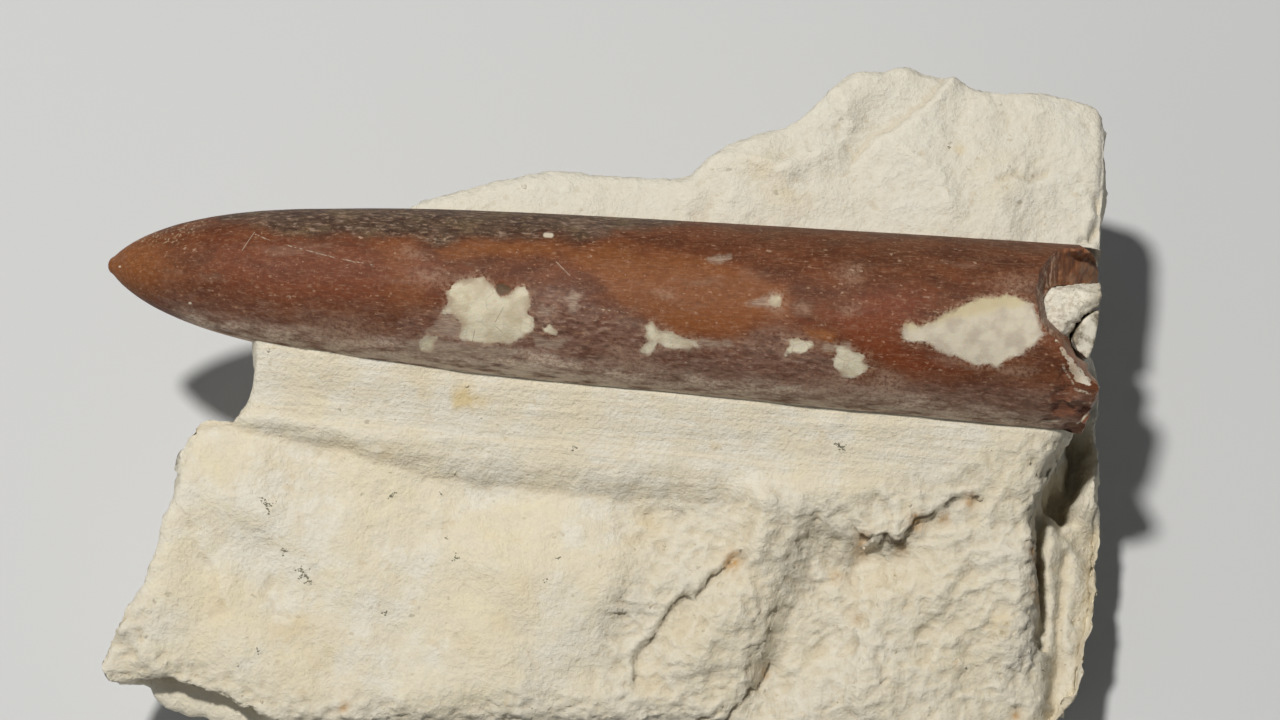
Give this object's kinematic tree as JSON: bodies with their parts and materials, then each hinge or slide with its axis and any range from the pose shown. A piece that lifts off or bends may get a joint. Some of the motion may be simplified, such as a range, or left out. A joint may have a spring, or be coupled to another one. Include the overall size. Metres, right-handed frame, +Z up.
{
  "type": "fossil belemnite",
  "caption": "Bullet-shaped amber calcite guard of a belemnite, bedded half deep in a loose piece of cream chalk matrix, for resting on a shelf or tray.",
  "frame": {"origin": "middle of the underside of the whole specimen's box, on the surface that it rests on", "axes": "+X along the guard from its tip to its broken end, +Z up, so +Y is towards the high back of the chalk"},
  "size_m": [0.098, 0.0668, 0.0359],
  "materials": {
    "chalk": "matt, powdery",
    "amber_calcite": "satin, slightly translucent",
    "plug_chalk": "matt"
  },
  "bodies": {
    "root": {"chalk_block": "chalk", "guard": "amber_calcite", "alveolus_plug": "plug_chalk"}
  },
  "joints": []
}
